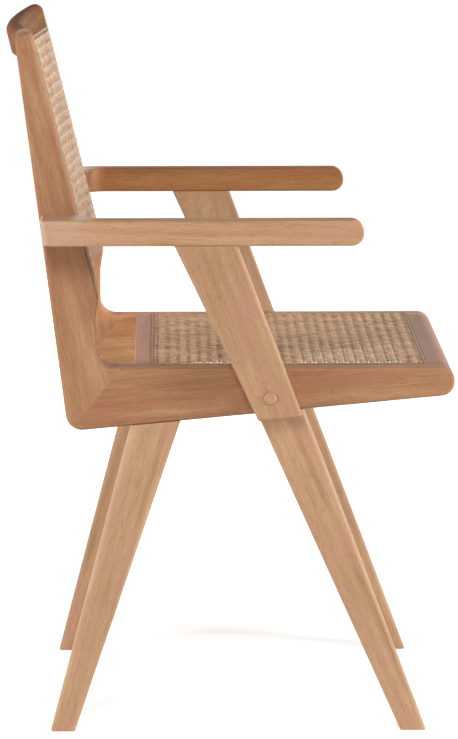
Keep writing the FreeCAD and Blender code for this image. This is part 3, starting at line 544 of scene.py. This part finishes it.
def onBack(u, v, height):
    # the panel lies on the front of the bowed back, whose up and rearward axes lean
    inBow = np.abs(u) <= back["halfSpan"]
    held = np.clip(u, -back["halfSpan"], back["halfSpan"])
    normalX = np.where(inBow, np.sin(held / bowRadius), 0.0)
    normalY = np.where(inBow, np.cos(held / bowRadius), 1.0)
    arc = np.sqrt(bowRadius ** 2 - held ** 2) - bowRadius + back["bow"]
    rearward = np.where(inBow, arc, 0.0) - normalY * height
    upward = (back["caneFoot"] + back["caneTop"]) / 2 + v
    y = back["kneeBack"] + upward * leanSin + rearward * leanCos
    z = back["kneeHeight"] + upward * leanCos - rearward * leanSin
    points = np.stack([u - normalX * height, y, z], axis=1) * mm
    return points, np.stack([-normalX, -normalY * leanCos, normalY * leanSin], axis=1)


weavePanel("back_cane", (backHigh.x - backLow.x) / mm, back["caneTop"] - back["caneFoot"], onBack,
           backSkin, crossShadedSkin)

reedSpline = {
    "colours": ("#7F5F43", "#A38463"),
    "fibre": (40, 0.7),    # mm long and wide
    "detail": 2.0,
    "easedEdge": 0.9,      # mm
    "bump": (0.25, 0.2),   # strength, and mm high
    "roughness": 0.6,
    "shine": 0.15,
    "ior": 1.5,
}
reedRuns = {
    "seat_spline_front": (1, 0, 0),
    "seat_spline_rear": (1, 0, 0),
    "seat_spline_left": (0, 1, 0),
    "seat_spline_right": (0, 1, 0),
    "back_spline_top": (1, 0, 0),
    "back_spline_bottom": (1, 0, 0),
    "back_spline_left": (0, leanSin, leanCos),
    "back_spline_right": (0, leanSin, leanCos),
}


def makeReed(name, along):
    # round core of the rattan, pressed in wet: straight fibres, almost no gloss
    material, tree, shader = newMaterial(name)
    along = Vector(along).normalized()
    side = along.orthogonal().normalized()
    toReed = Matrix((along, side, along.cross(side)))
    place = addNode(tree, "TexCoord")
    turned = addNode(tree, "Mapping", {"Rotation": toReed.to_euler()},
                     {"Vector": place.outputs["Object"]})
    scaled = addNode(tree, "Mapping", {"Scale": grainScale(*reedSpline["fibre"])},
                     {"Vector": turned.outputs["Vector"]})
    fibre = addNode(tree, "TexNoise", {"Scale": 1.0, "Detail": reedSpline["detail"]},
                    {"Vector": scaled.outputs["Vector"]})
    dark, light = (linearFromHex(code) for code in reedSpline["colours"])
    colour = addNode(tree, "Mix", {mixA: dark, mixB: light}, {mixShare: fibre.outputs["Fac"]},
                     data_type="RGBA")
    tree.links.new(colour.outputs[mixOut], shader.inputs["Base Color"])
    eased = addNode(tree, "Bevel", {"Radius": reedSpline["easedEdge"] * mm}, samples=bevelSamples)
    strength, high = reedSpline["bump"]
    bump = addNode(tree, "Bump", {"Strength": strength, "Distance": high * mm},
                   {"Height": fibre.outputs["Fac"], "Normal": eased.outputs["Normal"]})
    tree.links.new(bump.outputs["Normal"], shader.inputs["Normal"])
    setSockets(shader, {"Roughness": reedSpline["roughness"], "IOR": reedSpline["ior"],
                        "Specular IOR Level": reedSpline["shine"]})
    return material


for node, along in reedRuns.items():
    dress(node, makeReed("rattanCore_" + node, along))
print("cane and reeds done")

studio = {
    "floorSize": 60.0,         # m
    "floor": "#F4F4F3",
    "floorRoughness": 0.9,
    "floorShine": 0.1,
    "glow": (0.4, 0.95),       # of the floor to the eye, near the object and far from it
    "glowReach": (1.0, 3.0),   # m from the middle, where it starts to rise and is full
    "horizon": 0.2,            # the sky's light on the object
    "zenith": 0.02,
    "lampAim": (0, 0, 0.45),   # m
}
lamps = {  # place in metres, size in metres, watts
    "key": ((-1.35, -3.4, 1.1), 1.2, 132),
    "rim": ((-1.3, 3.4, 1.05), 1.2, 84),
    "fill": ((-3.6, 0.5, 2.9), 1.3, 70),
    "sheen": ((3.4, -0.6, 1.6), 3.0, 22),
    "farFront": ((2.4, -2.4, 1.0), 1.2, 32),
    "farRear": ((2.4, 2.4, 1.0), 1.2, 34),
}
white = (1, 1, 1, 1)


def seenDirectly(tree):
    # 1 for the camera and for what mirrors and clear things show of the studio
    path = addNode(tree, "LightPath")
    mirrored = addNode(tree, "Math", {},
                       {0: path.outputs["Is Glossy Ray"], 1: path.outputs["Is Transmission Ray"]},
                       operation="MAXIMUM")
    return addNode(tree, "Math", {}, {0: path.outputs["Is Camera Ray"], 1: mirrored.outputs[0]},
                   operation="MAXIMUM")


def makeFloor():
    mesh = bpy.data.meshes.new("studio_floor")
    half = studio["floorSize"] / 2
    corners = [(-half, -half, 0), (half, -half, 0), (half, half, 0), (-half, half, 0)]
    mesh.from_pydata(corners, [], [(0, 1, 2, 3)])
    floor = bpy.data.objects.new("studio_floor", mesh)
    scene.collection.objects.link(floor)
    # matt white paper: bright to the eye, keeps a soft shadow
    material, tree, shader = newMaterial("mattPaper")
    setSockets(shader, {"Base Color": linearFromHex(studio["floor"]), "Emission Color": white,
                        "Roughness": studio["floorRoughness"],
                        "Specular IOR Level": studio["floorShine"]})
    # less glow near the object, where the lamps light the paper, so that its shadow stays
    seen = seenDirectly(tree)
    place = addNode(tree, "TexCoord")
    away = addNode(tree, "VectorMath", {}, {0: place.outputs["Object"]}, operation="LENGTH")
    ramp = addNode(tree, "MapRange", dict(zip(rangeSockets, (*studio["glowReach"], *studio["glow"]))),
                   {"Value": away.outputs["Value"]})
    glow = addNode(tree, "Math", {}, {0: ramp.outputs[0], 1: seen.outputs[0]}, operation="MULTIPLY")
    tree.links.new(glow.outputs[0], shader.inputs["Emission Strength"])
    mesh.materials.append(material)


def makeSky():
    world = bpy.data.worlds.new("studio_sky")
    scene.world = world
    world.use_nodes = True
    tree = world.node_tree
    shader = tree.nodes["Background"]
    setSockets(shader, {"Color": white})
    # white to the eye, and a soft light on the object that fades towards the zenith
    seen = seenDirectly(tree)
    place = addNode(tree, "TexCoord")
    height = addNode(tree, "SeparateXYZ", {}, {0: place.outputs["Generated"]})
    sky = addNode(tree, "MapRange", {"To Min": studio["horizon"], "To Max": studio["zenith"]},
                  {"Value": height.outputs["Z"]})
    strength = addNode(tree, "MapRange", {"To Max": 1.0},
                       {"Value": seen.outputs[0], "To Min": sky.outputs[0]})
    tree.links.new(strength.outputs[0], shader.inputs["Strength"])


def hangLamp(name, place, size, watts):
    data = bpy.data.lights.new(name, "AREA")
    data.shape = "DISK"
    data.size = size
    data.energy = watts
    lamp = bpy.data.objects.new(name, data)
    lamp.location = place
    aim = Vector(studio["lampAim"]) - Vector(place)
    lamp.rotation_euler = aim.to_track_quat("-Z", "Y").to_euler()
    scene.collection.objects.link(lamp)


makeFloor()
makeSky()
for name, (place, size, watts) in lamps.items():
    hangLamp(name, place, size, watts)

view = {
    "place": (-5.008, 0.0839, 1.2254),  # m
    "pitchDeg": 9.28,
    "yawDeg": -0.996,
    "focalPixels": 4046.3,
    "imageHeight": 739,
    "sensor": 36.0,                     # mm
    "clipEnd": 200,                     # m
}
cameraData = bpy.data.cameras.new("side_camera")
cameraData.sensor_fit = "VERTICAL"
cameraData.sensor_height = view["sensor"]
cameraData.lens = view["focalPixels"] * view["sensor"] / view["imageHeight"]
cameraData.clip_end = view["clipEnd"]
camera = bpy.data.objects.new("side_camera", cameraData)
pitch, yaw = math.radians(view["pitchDeg"]), math.radians(view["yawDeg"])
forward = Vector((math.cos(pitch) * math.cos(yaw), math.cos(pitch) * math.sin(yaw), -math.sin(pitch)))
camera.location = view["place"]
camera.rotation_euler = forward.to_track_quat("-Z", "Y").to_euler()
scene.collection.objects.link(camera)
scene.camera = camera
scene.view_settings.view_transform = "Standard"
print("studio ready")
